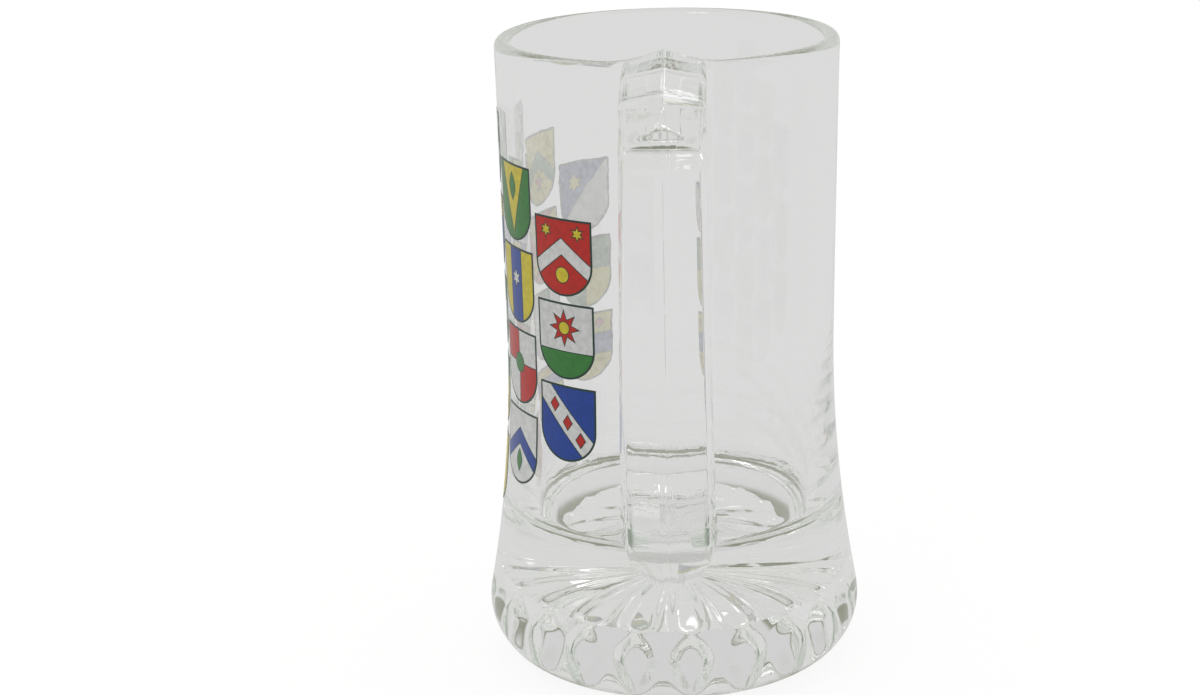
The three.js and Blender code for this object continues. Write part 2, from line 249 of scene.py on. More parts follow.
# Glass body: one piece of clear soda-lime glass, pressed in a mould and fire-polished.
# A thick flared foot with a star under it, a plain barrel and a round lip.
MUG_HEIGHT = 0.155
RIM_RADIUS = 0.0408
WAIST_RADIUS = 0.0397
WAIST_HEIGHT = 0.080
BARREL_FLARE = 1.25
HEEL_RADIUS = 0.04599
HEEL_HEIGHT = 0.0145
HEEL_TURN = math.radians(10)
STAND_RADIUS = 0.0315
STAND_WIDTH = 0.0018
LIP_THICKNESS = 0.0038
WALL_THICKNESS = 0.0047
FLOOR_HEIGHT = 0.0365
FLOOR_THICKNESS = 0.0132
FLOOR_FILLET = 0.0055
STAR_RAYS = 16
STAR_TURN = math.radians(7.5)
STAR_DOME = 0.0072
RECESS_DRAFT = 0.0012
COLUMNS_PER_RAY = 24
STAR_STEPS = 30
RECESS_STEPS = 24
HEEL_STEPS = 20
BARREL_STEPS = 36
LIP_STEPS = 12
CAVITY_STEPS = 24
FILLET_STEPS = 10
FLOOR_STEPS = 6
MERGE_DISTANCE = 0.00001

heel_reach = HEEL_RADIUS - STAND_RADIUS
heel_top_radius = STAND_RADIUS + heel_reach * math.cos(HEEL_TURN)
heel_top_height = HEEL_HEIGHT * (1 + math.sin(HEEL_TURN))
stand_inner = STAND_RADIUS - STAND_WIDTH
star_radius = stand_inner - RECESS_DRAFT
star_middle_height = FLOOR_HEIGHT - FLOOR_THICKNESS
star_edge_height = star_middle_height - STAR_DOME


def between(start, end, share):
    return start + (end - start) * share


def ease(start, end, value):
    """A soft step from 0 at the start to 1 at the end."""
    share = min(1, max(0, (value - start) / (end - start)))
    return share * share * (3 - 2 * share)


def shares(count):
    """Even steps from 0 to 1, without the start and with the end."""
    return [(step + 1) / count for step in range(count)]


def outer_radius(z):
    """Radius of the outside between the heel and the rim."""
    if z >= WAIST_HEIGHT:
        up = (z - WAIST_HEIGHT) / (MUG_HEIGHT - WAIST_HEIGHT)
        return between(WAIST_RADIUS, RIM_RADIUS, up ** BARREL_FLARE)
    down = (WAIST_HEIGHT - z) / (WAIST_HEIGHT - heel_top_height)
    return between(WAIST_RADIUS, heel_top_radius, down ** 2)


def cavity_radius(z):
    """Radius of the drinking cavity, which widens a little towards the lip."""
    up = (z - FLOOR_HEIGHT) / (MUG_HEIGHT - FLOOR_HEIGHT)
    return between(WAIST_RADIUS - WALL_THICKNESS, RIM_RADIUS - LIP_THICKNESS, up)


# The half section from the middle of the star, round the outside and lip, to the middle of the floor
section = [(0, star_middle_height)]
for out in shares(STAR_STEPS):
    section.append((star_radius * out, between(star_middle_height, star_edge_height, out ** 2)))
for down in shares(RECESS_STEPS):
    section.append((between(star_radius, stand_inner, down), star_edge_height * (1 - down)))
section.append((STAND_RADIUS, 0))
for turn in shares(HEEL_STEPS):
    angle = between(-math.pi / 2, HEEL_TURN, turn)
    section.append((STAND_RADIUS + heel_reach * math.cos(angle), HEEL_HEIGHT * (1 + math.sin(angle))))
lip_radius = LIP_THICKNESS / 2
lip_foot = MUG_HEIGHT - lip_radius
for up in shares(BARREL_STEPS):
    z = between(heel_top_height, lip_foot, up)
    section.append((outer_radius(z), z))
lip_middle = outer_radius(lip_foot) - lip_radius
for turn in shares(LIP_STEPS):
    angle = math.pi * turn
    section.append((lip_middle + lip_radius * math.cos(angle), lip_foot + lip_radius * math.sin(angle)))
fillet_top = FLOOR_HEIGHT + FLOOR_FILLET
for down in shares(CAVITY_STEPS):
    z = between(lip_foot, fillet_top, down)
    section.append((cavity_radius(z), z))
fillet_middle = cavity_radius(fillet_top) - FLOOR_FILLET
for turn in shares(FILLET_STEPS):
    angle = math.pi / 2 * turn
    place = (fillet_middle + FLOOR_FILLET * math.cos(angle), fillet_top - FLOOR_FILLET * math.sin(angle))
    section.append(place)
for inwards in shares(FLOOR_STEPS):
    section.append((fillet_middle * (1 - inwards), FLOOR_HEIGHT))

# One point is drawn along the half section, and the line is spun round the mug's axis
bpy.ops.mesh.primitive_plane_add(size=0.001, location=(0, 0, 0))
glass = bpy.context.object
glass.name = "glass_mug"
bpy.ops.object.mode_set(mode="EDIT")
bpy.ops.mesh.merge(type="CENTER")
bpy.ops.transform.translate(value=(axis_x, 0, section[0][1]))
for start, end in zip(section, section[1:]):
    step = (end[0] - start[0], 0, end[1] - start[1])
    bpy.ops.mesh.extrude_region_move(TRANSFORM_OT_translate={"value": step})
bpy.ops.mesh.select_all(action="SELECT")
bpy.ops.mesh.spin(
    steps=STAR_RAYS * COLUMNS_PER_RAY,
    angle=2 * math.pi,
    center=(axis_x, 0, 0),
    axis=(0, 0, 1),
)
bpy.ops.mesh.select_all(action="SELECT")
bpy.ops.mesh.remove_doubles(threshold=MERGE_DISTANCE)
bpy.ops.mesh.normals_make_consistent(inside=False)
bpy.ops.object.mode_set(mode="OBJECT")

# The star: petals across the ceiling of the hollow foot, and a dimple in its wall under each petal
PETAL_RISE = 0.0011
PETAL_FLAT = 0.42
PETAL_FOOT = 0.95
PETAL_FULL_RADIUS = 0.013
PETAL_ROUND = 0.6
DIMPLE_DEPTH = 0.0026
DIMPLE_FLAT = 0.30
DIMPLE_SIDE = 0.98
DIMPLE_HEIGHT = 0.0100
DIMPLE_REACH = 0.0064
DIMPLE_CORNERS = 1.3
HOLLOW_MARGIN = 0.0001
half_ray = math.pi / STAR_RAYS
petal_half_width = star_radius * math.sin(half_ray)
petal_end = star_radius - PETAL_ROUND * petal_half_width

for vertex in glass.data.vertices:
    x = vertex.co.x - axis_x
    y = vertex.co.y
    z = vertex.co.z
    radius = math.hypot(x, y)
    outside_hollow = radius > stand_inner + HOLLOW_MARGIN or z > star_middle_height + HOLLOW_MARGIN
    if outside_hollow or radius < HOLLOW_MARGIN:
        continue
    off_middle = (math.atan2(y, x) - STAR_TURN + half_ray) % (2 * half_ray) - half_ray
    across = abs(off_middle) / half_ray
    if radius < star_radius + MERGE_DISTANCE:
        past_end = max(0, radius - petal_end) / petal_half_width
        rise = PETAL_RISE * min(1, radius / PETAL_FULL_RADIUS)
        vertex.co.z = z - rise * (1 - ease(PETAL_FLAT, PETAL_FOOT, math.hypot(across, past_end)))
    else:
        off_height = abs(z - DIMPLE_HEIGHT) / DIMPLE_REACH
        off_dimple = (across ** DIMPLE_CORNERS + off_height ** DIMPLE_CORNERS) ** (1 / DIMPLE_CORNERS)
        wider = DIMPLE_DEPTH * (1 - ease(DIMPLE_FLAT, DIMPLE_SIDE, off_dimple))
        vertex.co.x = axis_x + x * (1 + wider / radius)
        vertex.co.y = y * (1 + wider / radius)

# The lip was drawn up a little where the hot handle was pressed on to it
LIP_DRAWN_UP = 0.0021
LIP_DRAWN_WIDTH = 0.013
LIP_DRAWN_DEPTH = 0.004
drawn_from = lip_foot - LIP_DRAWN_DEPTH
for vertex in glass.data.vertices:
    if vertex.co.x > axis_x and vertex.co.z > drawn_from:
        near_handle = 1 - ease(0, LIP_DRAWN_WIDTH, abs(vertex.co.y))
        vertex.co.z += LIP_DRAWN_UP * near_handle * ease(drawn_from, lip_foot, vertex.co.z)

# Handle: a bar of the same glass from a mould of two halves, with a roof-shaped arm and a bevelled grip.
# Its two ends are melted on to the body at the lip and above the heel.
HANDLE_REACH = 0.03745
HANDLE_TOP_WIDTH = 0.0188
HANDLE_FOOT_WIDTH = 0.022
HANDLE_TOE_WIDTH = 0.019
HANDLE_THICKNESS = 0.0115
ARM_THICKNESS = 0.011
RIDGE_RISE = 0.0034
ROOF_DROP = 0.0025
BEVEL_DROP = 0.0016
ROOF_RIDGE = 0.0008
GRIP_FLAT = 0.0039
EAVE_ROUND = 0.0018
EDGE_ROUND = 0.0008
SIDE_DRAFT = 0.0013
TOP_ARM_DROP = 0.0055
TOP_CORNER = 0.0045
TOP_CORNER_FALL = 0.006
TOP_CORNER_BREAK = 0.0028
INNER_CORNER = 0.012
GRIP_BOW = 0.002
GRIP_TUCK = 0.005
GRIP_WIDEST = 0.8
BOW_PLACE = 0.6
TUCK_PLACE = 0.85
TOE_FILLET = 0.012
TOE_DROP = 0.0032
TOE_ROUND = 0.004
LOWER_JOINT_HEIGHT = 0.0385
ROOT_DEPTH = 0.0022
SEAM_WIDTH = 0.0005
SEAM_TOP_WIDTH = 0.0002
SEAM_RISE = 0.00012
RIDGE_LINE = 0.6
ROOT_SINK = 0.0006
CREASE = 0.0003
ARM_END = 0.99
CORNER_PULL = 2 / 3
ARM_STEPS = 8
CORNER_STEPS = 12
GRIP_STEPS = 40
EDGE_STEPS = 6
GLASS_CREASE = math.radians(50)

# The inside of the handle and its rounded edge, as shares of the half width and of the thickness
INNER_FACE = (
    (0.3, 1), (0.6, 1), (0.75, 0.98), (0.86, 0.94),
    (0.93, 0.88), (0.97, 0.8), (0.993, 0.71), (1, 0.62),
)


def handle_edge(grip_x, arm_height, foot_height, corner_size, corner_fall, corner_break):
    """One edge of the handle in side view: a sloping arm, a rounded corner and the grip."""
    root = Vector((outer_radius(MUG_HEIGHT) - ROOT_DEPTH, arm_height))
    arm_slope = TOP_ARM_DROP / (HANDLE_REACH + ROOT_DEPTH - TOP_CORNER)
    corner_x = grip_x - corner_size
    corner_start = Vector((corner_x, arm_height - arm_slope * (corner_x - root.x)))
    corner_tip = Vector((grip_x, corner_start.y - corner_break))
    corner_end = Vector((grip_x, corner_start.y - corner_fall))
    foot = Vector((outer_radius(foot_height) - ROOT_DEPTH, foot_height))
    bow = Vector((grip_x + GRIP_BOW, between(corner_end.y, foot.y, BOW_PLACE)))
    tuck = Vector((grip_x - GRIP_TUCK, between(corner_end.y, foot.y, TUCK_PLACE)))
    arm = [root.lerp(corner_start, ARM_END * step / (ARM_STEPS - 1)) for step in range(ARM_STEPS)]
    corner = interpolate_bezier(
        corner_start,
        corner_start.lerp(corner_tip, CORNER_PULL),
        corner_end.lerp(corner_tip, CORNER_PULL),
        corner_end,
        CORNER_STEPS + 1,
    )
    grip = interpolate_bezier(corner_end, bow, tuck, foot, GRIP_STEPS + 1)
    return arm + corner + grip[1:]


def drawn_toe(place):
    """Where the grip's outside comes near the body, it is drawn down along it."""
    off_body = place.x - outer_radius(place.y)
    near = min(1, max(0, 1 - off_body / TOE_FILLET)) if place.y < WAIST_HEIGHT else 0
    return Vector((place.x, place.y - TOE_DROP * near ** 2))


def grip_width(down):
    """Width of the handle at a share of the grip: widest low down, then narrower to the toe."""
    if down < GRIP_WIDEST:
        return between(HANDLE_TOP_WIDTH, HANDLE_FOOT_WIDTH, down / GRIP_WIDEST)
    along_toe = (down - GRIP_WIDEST) / (1 - GRIP_WIDEST)
    return between(HANDLE_FOOT_WIDTH, HANDLE_TOE_WIDTH, along_toe ** 2)


def handle_section(station):
    """Places round one cross-section as [distance from the middle, share of the thickness from the ridge]."""
    along_arm = min(1, station / ARM_STEPS)
    round_corner = min(1, max(0, (station - ARM_STEPS) / CORNER_STEPS))
    along_grip = max(0, (station - ARM_STEPS - CORNER_STEPS) / GRIP_STEPS)
    half = grip_width(along_grip) / 2
    flat = between(ROOF_RIDGE, GRIP_FLAT, ease(0, 1, round_corner)) / 2
    drop = between(between(ROOF_DROP, BEVEL_DROP, along_arm), TOE_ROUND, ease(GRIP_WIDEST, 1, along_grip))
    edge = between(EAVE_ROUND, EDGE_ROUND, round_corner)
    front = half - SIDE_DRAFT * round_corner
    right = [(across * half, depth) for across, depth in INNER_FACE]
    for step in range(EDGE_STEPS + 1):
        angle = math.pi / 2 * step / EDGE_STEPS
        depth = drop + edge * (1 - math.sin(angle))
        right.append((front - edge * (1 - math.cos(angle)), depth / HANDLE_THICKNESS))
    bevel_slope = drop / (front - edge - flat)
    right.append((flat + CREASE / 2, bevel_slope * CREASE / 2 / HANDLE_THICKNESS))
    right.append((between(SEAM_WIDTH / 2, flat, RIDGE_LINE), 0))
    right.append((SEAM_WIDTH / 2, 0))
    right.append((SEAM_TOP_WIDTH / 2, -SEAM_RISE / HANDLE_THICKNESS))
    left = [(-across, depth) for across, depth in reversed(right)]
    return right + left


grip_x = outer_radius(MUG_HEIGHT) + HANDLE_REACH - SEAM_RISE
ridge_top = MUG_HEIGHT + RIDGE_RISE - ROOT_SINK
half_thickness = HANDLE_THICKNESS / 2
outer_foot = LOWER_JOINT_HEIGHT - half_thickness
inner_foot = LOWER_JOINT_HEIGHT + half_thickness
bare_edge = handle_edge(grip_x, ridge_top, outer_foot, TOP_CORNER, TOP_CORNER_FALL, TOP_CORNER_BREAK)
outer_edge = [drawn_toe(Vector(place[:2])) for place in bare_edge]
inner_x = grip_x - HANDLE_THICKNESS
arm_foot = ridge_top - ARM_THICKNESS
inner_edge = handle_edge(inner_x, arm_foot, inner_foot, INNER_CORNER, INNER_CORNER, 0)


def handle_ring(station):
    """The places of one cross-section of the handle."""
    ridge = outer_edge[station]
    face = inner_edge[station]
    ring = []
    for across, depth in handle_section(station):
        place = ridge.lerp(face, depth)
        ring.append((axis_x + place.x, across, place.y))
    return ring


# One cross-section is drawn at the upper root and extruded along the handle to the lower root
bpy.ops.mesh.primitive_circle_add(vertices=len(handle_ring(0)), fill_type="NGON")
handle = bpy.context.object
handle.name = "handle_bar"
for vertex, place in zip(handle.data.vertices, handle_ring(0)):
    vertex.co = place
bpy.ops.object.mode_set(mode="EDIT")
bpy.ops.mesh.select_all(action="SELECT")
for station in range(1, len(outer_edge)):
    bpy.ops.mesh.extrude_region_move()
    bar = bmesh.from_edit_mesh(handle.data)
    end_ring = [vertex for vertex in bar.verts if vertex.select]
    for vertex, place in zip(end_ring, handle_ring(station)):
        vertex.co = place
    bmesh.update_edit_mesh(handle.data)
bpy.ops.mesh.select_all(action="SELECT")
bpy.ops.mesh.normals_make_consistent(inside=False)
bpy.ops.object.mode_set(mode="OBJECT")

# The handle is melted on to the body, and the joint shows no seam
bpy.ops.object.select_all(action="DESELECT")
bpy.context.view_layer.objects.active = glass
glass.select_set(True)
bpy.ops.object.modifier_add(type="BOOLEAN")
joint = glass.modifiers["Boolean"]
joint.operation = "UNION"
joint.solver = "EXACT"
joint.object = handle
bpy.ops.object.modifier_apply(modifier="Boolean")
bpy.data.objects.remove(handle)
bpy.ops.object.shade_smooth_by_angle(angle=GLASS_CREASE)
bpy.ops.object.modifier_add(type="WEIGHTED_NORMAL")
glass.modifiers["WeightedNormal"].keep_sharp = True
bpy.ops.object.modifier_apply(modifier="WeightedNormal")

# The glass is clear with a faint green depth, and its skin keeps soft waves and the mould's fine grain
GLASS_IOR = 1.52
GLASS_TINT = (0.58, 0.72, 0.56, 1)
TINT_DENSITY = 0.8
WAVE_SCALE = 85
WAVE_DETAIL = 1
WAVE_DEPTH = 0.00003
GRAIN_SCALE = 350
GRAIN_DETAIL = 2
GRAIN_DEPTH = 0.000010

glass_material = bpy.data.materials.new("clear_glass")
glass_material.use_nodes = True
nodes = glass_material.node_tree.nodes
links = glass_material.node_tree.links
clear = nodes["Principled BSDF"]
clear.inputs["Base Color"].default_value = WHITE
clear.inputs["Roughness"].default_value = 0
clear.inputs["IOR"].default_value = GLASS_IOR
clear.inputs["Transmission Weight"].default_value = 1
place = nodes.new("ShaderNodeTexCoord")
waves = nodes.new("ShaderNodeTexNoise")
waves.inputs["Scale"].default_value = WAVE_SCALE
waves.inputs["Detail"].default_value = WAVE_DETAIL
links.new(place.outputs["Object"], waves.inputs["Vector"])
grain = nodes.new("ShaderNodeTexNoise")
grain.inputs["Scale"].default_value = GRAIN_SCALE
grain.inputs["Detail"].default_value = GRAIN_DETAIL
links.new(place.outputs["Object"], grain.inputs["Vector"])
wavy_skin = nodes.new("ShaderNodeBump")
wavy_skin.inputs["Strength"].default_value = 1
wavy_skin.inputs["Distance"].default_value = WAVE_DEPTH
links.new(waves.outputs["Fac"], wavy_skin.inputs["Height"])
grained_skin = nodes.new("ShaderNodeBump")
grained_skin.inputs["Strength"].default_value = 1
grained_skin.inputs["Distance"].default_value = GRAIN_DEPTH
links.new(grain.outputs["Fac"], grained_skin.inputs["Height"])
links.new(wavy_skin.outputs["Normal"], grained_skin.inputs["Normal"])
links.new(grained_skin.outputs["Normal"], clear.inputs["Normal"])
tint = nodes.new("ShaderNodeVolumeAbsorption")
tint.inputs["Color"].default_value = GLASS_TINT
tint.inputs["Density"].default_value = TINT_DENSITY
links.new(tint.outputs["Volume"], nodes["Material Output"].inputs["Volume"])
glass.data.materials.clear()
glass.data.materials.append(glass_material)
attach(glass, "root")
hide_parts("glass_body", "handle")

# Print: nineteen small shields of coloured enamel, screen-printed on the side and fired on.
# Each has a dark edge and a plain division, and most carry small figures printed over it.
SHIELD_COLUMNS = (3, 4, 5, 4, 3)
PRINT_BELOW_RIM = 0.0167
PRINT_ABOVE_HEEL = 0.0225
PRINT_ANGLE = math.radians(130)
SHIELD_SPACING = 0.0016
ENAMEL_PROUD = 0.00011
ENAMEL_THICKNESS = 0.00008
OVERPRINT_LIFT = 0.000012
SHIELD_EDGE = 0.0005
FIGURE_EDGE = 0.00022
PRINTED_LINE = 0.00013
BEND_STEP = 0.0012
CUT_TOLERANCE = 0.000001
PRINT_CREASE = math.radians(30)
print_top = MUG_HEIGHT - PRINT_BELOW_RIM
print_foot = heel_top_height + PRINT_ABOVE_HEEL
row_pitch = (print_top - print_foot + SHIELD_SPACING) / max(SHIELD_COLUMNS)
column_pitch = (PRINT_ANGLE * WAIST_RADIUS + SHIELD_SPACING) / len(SHIELD_COLUMNS)
shield_half = (column_pitch - SHIELD_SPACING) / 2
shield_tall = (row_pitch - SHIELD_SPACING) / 2

ENAMEL_COLOURS = {
    "blue": (0.014, 0.060, 0.34, 1),
    "green": (0.040, 0.22, 0.040, 1),
    "yellow": (0.74, 0.62, 0.045, 1),
    "red": (0.56, 0.022, 0.014, 1),
    "white": (0.80, 0.81, 0.79, 1),
    "dark": (0.008, 0.040, 0.026, 1),
}
COLOUR_NAMES = list(ENAMEL_COLOURS)
DARK = COLOUR_NAMES.index("dark")
FIELD_COLOURS = COLOUR_NAMES[:DARK]
# The enamel's backs, seen through the glass, are paled and made to glow: painted light that stands in for
# light shining through the enamel.
PAINTED_BACKLIGHT_COLOUR = (0.90, 0.91, 0.89, 1)
PAINTED_BACKLIGHT_SHARE = 0.7
PAINTED_BACK_GLOW = 0.3
ENAMEL_ROUGHNESS = 0.32
ENAMEL_BUMP = 0.000008
ENAMEL_BUMP_STRENGTH = 0.5
MOTTLE_SCALE = 700
MOTTLE_DETAIL = 4
MOTTLE_SEEN = (0.3, 0.7)
MOTTLE_STRENGTH = (0.86, 1.1)


def mottled_colour():
    """A node group that varies an enamel's colour a little, as the screen's mesh leaves it."""
    group = bpy.data.node_groups.new("mottled_enamel", "ShaderNodeTree")
    group.interface.new_socket("Colour", in_out="INPUT", socket_type="NodeSocketColor")
    group.interface.new_socket("Colour", in_out="OUTPUT", socket_type="NodeSocketColor")
    group.interface.new_socket("Height", in_out="OUTPUT", socket_type="NodeSocketFloat")
    group_in = group.nodes.new("NodeGroupInput")
    group_out = group.nodes.new("NodeGroupOutput")
    place = group.nodes.new("ShaderNodeTexCoord")
    patches = group.nodes.new("ShaderNodeTexNoise")
    patches.inputs["Scale"].default_value = MOTTLE_SCALE
    patches.inputs["Detail"].default_value = MOTTLE_DETAIL
    group.links.new(place.outputs["Object"], patches.inputs["Vector"])
    strength = group.nodes.new("ShaderNodeMapRange")
    strength.inputs["From Min"].default_value = MOTTLE_SEEN[0]
    strength.inputs["From Max"].default_value = MOTTLE_SEEN[1]
    strength.inputs["To Min"].default_value = MOTTLE_STRENGTH[0]
    strength.inputs["To Max"].default_value = MOTTLE_STRENGTH[1]
    group.links.new(patches.outputs["Fac"], strength.inputs["Value"])
    varied = group.nodes.new("ShaderNodeVectorMath")
    varied.operation = "SCALE"
    group.links.new(group_in.outputs["Colour"], varied.inputs[0])
    group.links.new(strength.outputs["Result"], varied.inputs["Scale"])
    group.links.new(varied.outputs["Vector"], group_out.inputs["Colour"])
    group.links.new(patches.outputs["Fac"], group_out.inputs["Height"])
    return group


mottled = mottled_colour()


def enamel_material(name, colour, painted_glow):
    """Fired enamel of one colour: a soft gloss, a slightly uneven skin, and a painted glow that stands in for
    light shining through it.
    """
    material = bpy.data.materials.new(name)
    material.use_nodes = True
    nodes = material.node_tree.nodes
    links = material.node_tree.links
    enamel = nodes["Principled BSDF"]
    enamel.inputs["Roughness"].default_value = ENAMEL_ROUGHNESS
    print_skin = nodes.new("ShaderNodeGroup")
    print_skin.node_tree = mottled
    print_skin.inputs["Colour"].default_value = colour
    links.new(print_skin.outputs["Colour"], enamel.inputs["Base Color"])
    links.new(print_skin.outputs["Colour"], enamel.inputs["Emission Color"])
    enamel.inputs["Emission Strength"].default_value = painted_glow
    uneven = nodes.new("ShaderNodeBump")
    uneven.inputs["Strength"].default_value = ENAMEL_BUMP_STRENGTH
    uneven.inputs["Distance"].default_value = ENAMEL_BUMP
    links.new(print_skin.outputs["Height"], uneven.inputs["Height"])
    links.new(uneven.outputs["Normal"], enamel.inputs["Normal"])
    return material


def painted_backlit_colour(colour):
    """The enamel's colour seen through the glass, paled towards a light grey: painted light for light shining
    through the enamel.
    """
    return tuple(between(part, pale, PAINTED_BACKLIGHT_SHARE) for part, pale in zip(colour, PAINTED_BACKLIGHT_COLOUR))


enamels = [enamel_material(f"enamel_{name}", colour, 0) for name, colour in ENAMEL_COLOURS.items()]
# Each colour gets a copy for its back, paler and with a painted glow that stands in for light shining through
# the enamel.
for name, colour in ENAMEL_COLOURS.items():
    enamels.append(enamel_material(f"enamel_{name}_back", painted_backlit_colour(colour), PAINTED_BACK_GLOW))


# A division is a list of straight lines [across, up, distance] and the colour at a place.
# Places are in half widths of the shield from its middle.
SLANT = math.sqrt(0.5)
FIELD_REACH = 1.1


def fess(field, band):
    top, foot = 0.4, -0.25
    return [(0, 1, top), (0, 1, foot)], lambda u, v: band if foot < v < top else field


def base(field, ground):
    level = -0.3
    return [(0, 1, level)], lambda u, v: ground if v < level else field


def chief(field, band):
    level = 0.45
    return [(0, 1, level)], lambda u, v: band if v > level else field


def pale(field, band):
    half = 0.36
    return [(1, 0, half), (1, 0, -half)], lambda u, v: band if abs(u) < half else field


def parted(left, right):
    return [(1, 0, 0)], lambda u, v: left if u < 0 else right


def bend(field, band, side=1):
    top, foot = 0.34, -0.24
    lines = [(SLANT * side, SLANT, top), (SLANT * side, SLANT, foot)]
    return lines, lambda u, v: band if foot < SLANT * (side * u + v) < top else field


def sliced(upper, lower):
    level = 0.1
    return [(SLANT, SLANT, level)], lambda u, v: upper if SLANT * (u + v) > level else lower


def quarterly(first, second):
    level = 0.1
    return [(1, 0, 0), (0, 1, level)], lambda u, v: first if (u < 0) == (v > level) else second


def chevron(field, band):
    across, up = 0.6, 0.8
    foot, top = 0.06, 0.44
    lines = [(side * across, up, reach) for side in (-1, 1) for reach in (foot, top)]
    return lines, lambda u, v: band if foot < across * abs(u) + up * v < top else field


def pile(field, wedge):
    across, up, reach = 0.94, -0.34, 0.3
    lines = [(side * across, up, reach) for side in (-1, 1)]
    return lines, lambda u, v: wedge if across * abs(u) + up * v < reach else field


def saltire(field, cross):
    half = 0.2
    lines = [(SLANT, side * SLANT, reach) for side in (-1, 1) for reach in (-half, half)]
    return lines, lambda u, v: cross if min(abs(u + v), abs(u - v)) * SLANT < half else field


def stripe_lines(across, up, count):
    step = 2 * FIELD_REACH / count
    return [(across, up, -FIELD_REACH + step * bar) for bar in range(1, count)]


def stripe_at(place, count):
    return int((place + FIELD_REACH) / (2 * FIELD_REACH / count))


def barry(first, second, count):
    return stripe_lines(0, 1, count), lambda u, v: (first, second)[stripe_at(v, count) % 2]


def chequy(first, second, count):
    lines = stripe_lines(1, 0, count) + stripe_lines(0, 1, count)
    return lines, lambda u, v: (first, second)[(stripe_at(u, count) + stripe_at(v, count)) % 2]


# The small figures, as outlines of radius 1
def star_figure(points):
    notch = 0.5
    turns = range(2 * points)
    reach = [1 if turn % 2 == 0 else notch for turn in turns]
    angles = [math.pi / 2 + math.pi * turn / points for turn in turns]
    return [(far * math.cos(angle), far * math.sin(angle)) for far, angle in zip(reach, angles)]


def round_figure():
    sides = 24
    angles = [2 * math.pi * turn / sides for turn in range(sides)]
    return [(math.cos(angle), math.sin(angle)) for angle in angles]


def lozenge_figure():
    half = 0.75
    return [(half, 0), (0, 1), (-half, 0), (0, -1)]


def crescent_figure():
    outer = [math.radians(between(150, 390, turn / 18)) for turn in range(19)]
    inner = [math.radians(between(20, -200, turn / 14)) for turn in range(1, 14)]
    low = [(math.cos(angle), math.sin(angle)) for angle in outer]
    bite, lift = 0.8, 0.28
    high = [(bite * math.cos(angle), lift + bite * math.sin(angle)) for angle in inner]
    return low + high


def leaf_figure():
    half, steps = 0.5, 10
    right = [(half * math.sin(math.pi * turn / steps), -1 + 2 * turn / steps) for turn in range(steps)]
    left = [(-across, -up) for across, up in right]
    return right + left


# Each shield's division, and its figures as [outline, across, up, size, colour]
SHIELD_DESIGNS = {
    "shield_1_1_blue": (sliced("blue", "white"), [(star_figure(6), 0.35, 0.45, 0.34, "yellow")]),
    "shield_1_2_green": (quarterly("green", "yellow"), []),
    "shield_1_3_yellow": (fess("yellow", "blue"), [(round_figure(), -0.5, 0.72, 0.17, "red"),
                                                   (round_figure(), 0.5, 0.72, 0.17, "red")]),
    "shield_2_1_yellow": (chevron("yellow", "green"), [(star_figure(5), 0, -0.42, 0.3, "red")]),
    "shield_2_2_red": (saltire("red", "yellow"), [(round_figure(), 0, 0, 0.36, "blue")]),
    "shield_2_3_white": (pale("white", "green"), [(lozenge_figure(), 0, 0.1, 0.34, "yellow")]),
    "shield_2_4_blue": (barry("blue", "yellow", 6), []),
    "shield_3_1_white": (chequy("white", "green", 5), []),
    "shield_3_2_blue": (chief("blue", "yellow"), [(crescent_figure(), 0, -0.25, 0.42, "white")]),
    "shield_3_3_green": (fess("green", "white"), [(star_figure(6), 0, 0.07, 0.27, "red")]),
    "shield_3_4_yellow": (bend("yellow", "green", -1), [(round_figure(), -0.5, 0.55, 0.22, "red"),
                                                        (round_figure(), 0.4, -0.42, 0.22, "red")]),
    "shield_3_5_red": (parted("red", "yellow"), [(lozenge_figure(), 0, 0.1, 0.5, "blue")]),
    "shield_4_1_green": (pile("green", "yellow"), [(leaf_figure(), 0, 0.45, 0.42, "green")]),
    "shield_4_2_yellow": (pale("yellow", "blue"), [(star_figure(6), 0, 0.2, 0.3, "white")]),
    "shield_4_3_red": (quarterly("red", "white"), [(round_figure(), 0, 0.1, 0.3, "green")]),
    "shield_4_4_white": (chevron("white", "blue"), [(leaf_figure(), 0, -0.42, 0.36, "green")]),
    "shield_5_1_red": (chevron("red", "white"), [(star_figure(6), -0.55, 0.72, 0.24, "yellow"),
                                                 (star_figure(6), 0.55, 0.72, 0.24, "yellow"),
                                                 (round_figure(), 0, -0.5, 0.24, "yellow")]),
    "shield_5_2_white": (base("white", "green"), [(star_figure(8), 0, 0.38, 0.56, "red"),
                                                  (round_figure(), 0, 0.38, 0.2, "yellow")]),
    "shield_5_3_blue": (bend("blue", "white"), [(lozenge_figure(), -0.42, 0.5, 0.24, "red"),
                                                (lozenge_figure(), 0.05, 0.03, 0.24, "red"),
                                                (lozenge_figure(), 0.5, -0.42, 0.24, "red")]),
}


def shield_outline():
    """A flat top, straight sides and a round foot, drawn anticlockwise."""
    shoulder_drop, foot_steps = 0.16, 28
    shoulder = -shoulder_drop * shield_tall
    foot = shield_tall + shoulder
    angles = [math.pi * turn / foot_steps for turn in range(foot_steps + 1)]
    curve = [(-shield_half * math.cos(angle), shoulder - foot * math.sin(angle)) for angle in angles]
    return curve + [(shield_half, shield_tall), (-shield_half, shield_tall)]


def printed_patch(outline, colour, edge):
    """A flat patch of one colour with a dark printed edge."""
    bpy.ops.mesh.primitive_circle_add(vertices=len(outline), fill_type="NGON")
    patch = bpy.context.object
    for vertex, place in zip(patch.data.vertices, outline):
        vertex.co = (place[0], place[1], 0)
    bpy.ops.object.mode_set(mode="EDIT")
    bpy.ops.mesh.select_all(action="SELECT")
    bpy.ops.mesh.inset(thickness=edge)
    bpy.ops.object.mode_set(mode="OBJECT")
    for enamel in enamels:
        patch.data.materials.append(enamel)
    for face in patch.data.polygons:
        face.material_index = COLOUR_NAMES.index(colour) if face.select else DARK
    return patch


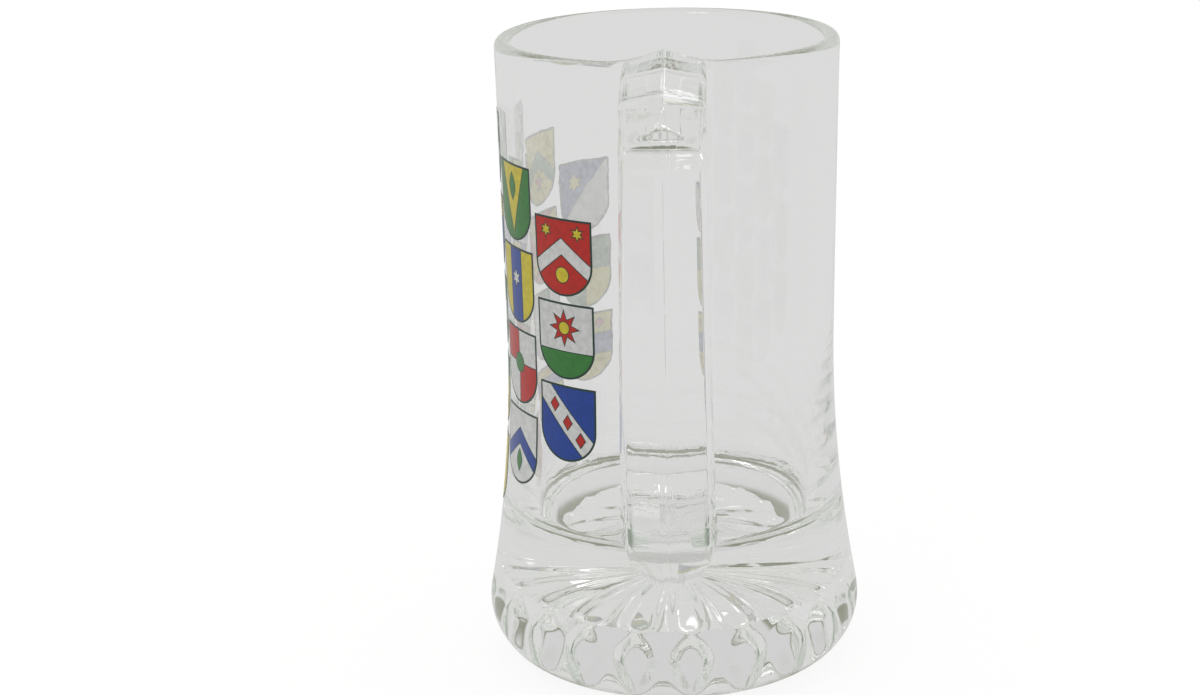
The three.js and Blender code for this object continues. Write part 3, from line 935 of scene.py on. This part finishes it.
def cut_across(along, distance):
    """Cuts every face of the patch in edit mode along a straight line."""
    bpy.ops.mesh.select_all(action="SELECT")
    bpy.ops.mesh.bisect(
        plane_co=(along[0] * distance, along[1] * distance, 0),
        plane_no=(along[0], along[1], 0),
        threshold=CUT_TOLERANCE,
    )


def paint_division(patch, lines, colour_at):
    """Cuts the division's lines into a shield and colours its faces, with dark lines between two colours."""
    bpy.ops.object.mode_set(mode="EDIT")
    for across, up, distance in lines:
        for edge in (-PRINTED_LINE, PRINTED_LINE):
            cut_across((across, up), distance * shield_half + edge)
    bpy.ops.object.mode_set(mode="OBJECT")
    reach = 1.5 * PRINTED_LINE / shield_half
    for face in patch.data.polygons:
        if face.material_index == DARK:
            continue
        u = face.center.x / shield_half
        v = face.center.y / shield_half
        colour = colour_at(u, v)
        for across, up, distance in lines:
            on_line = abs(across * u + up * v - distance) * shield_half < PRINTED_LINE
            one_side = colour_at(u + across * reach, v + up * reach)
            other_side = colour_at(u - across * reach, v - up * reach)
            if on_line and one_side != other_side:
                colour = "dark"
        face.material_index = COLOUR_NAMES.index(colour)


def wrap_on_glass(patch, arc_middle, height_middle, proud, thickness):
    """Bends a flat patch round the barrel and gives it its thickness, with its back close to the glass."""
    bpy.ops.object.mode_set(mode="EDIT")
    across = -shield_half + BEND_STEP
    while across < shield_half:
        cut_across((1, 0), across)
        across += BEND_STEP
    up = -shield_tall + 2 * BEND_STEP
    while up < shield_tall:
        cut_across((0, 1), up)
        up += 2 * BEND_STEP
    bpy.ops.object.mode_set(mode="OBJECT")
    for vertex in patch.data.vertices:
        angle = (arc_middle + vertex.co.x) / WAIST_RADIUS - math.pi / 2
        z = height_middle + vertex.co.y
        radius = outer_radius(z) + proud
        vertex.co = (axis_x + radius * math.cos(angle), radius * math.sin(angle), z)
    bpy.ops.object.modifier_add(type="SOLIDIFY")
    sheet = patch.modifiers["Solidify"]
    sheet.thickness = thickness
    sheet.offset = -1
    sheet.material_offset = len(COLOUR_NAMES)
    bpy.ops.object.modifier_apply(modifier="Solidify")


for column, count in enumerate(SHIELD_COLUMNS):
    for row in range(count):
        field_colour = FIELD_COLOURS[(2 * column + row) % len(FIELD_COLOURS)]
        name = f"shield_{column + 1}_{row + 1}_{field_colour}"
        (lines, colour_at), figures = SHIELD_DESIGNS[name]
        arc_middle = (column - (len(SHIELD_COLUMNS) - 1) / 2) * column_pitch
        height_middle = (print_foot + print_top) / 2 + ((count - 1) / 2 - row) * row_pitch
        bpy.ops.object.select_all(action="DESELECT")
        shield = printed_patch(shield_outline(), field_colour, SHIELD_EDGE)
        shield.name = f"print_{name}"
        paint_division(shield, lines, colour_at)
        wrap_on_glass(shield, arc_middle, height_middle, ENAMEL_PROUD, ENAMEL_THICKNESS)
        layers = [shield]
        for level, (figure, across, up, size, colour) in enumerate(figures):
            outline = [((across + size * u) * shield_half, (up + size * v) * shield_half) for u, v in figure]
            charge = printed_patch(outline, colour, FIGURE_EDGE)
            lift = OVERPRINT_LIFT * (level + 1)
            wrap_on_glass(charge, arc_middle, height_middle, ENAMEL_PROUD + lift, ENAMEL_THICKNESS + 2 * lift)
            layers.append(charge)
        bpy.ops.object.select_all(action="DESELECT")
        for layer in layers:
            layer.select_set(True)
        bpy.context.view_layer.objects.active = shield
        if len(layers) > 1:
            bpy.ops.object.join()
        bpy.ops.object.shade_smooth_by_angle(angle=PRINT_CREASE)
        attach(shield, "root")
        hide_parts(name)
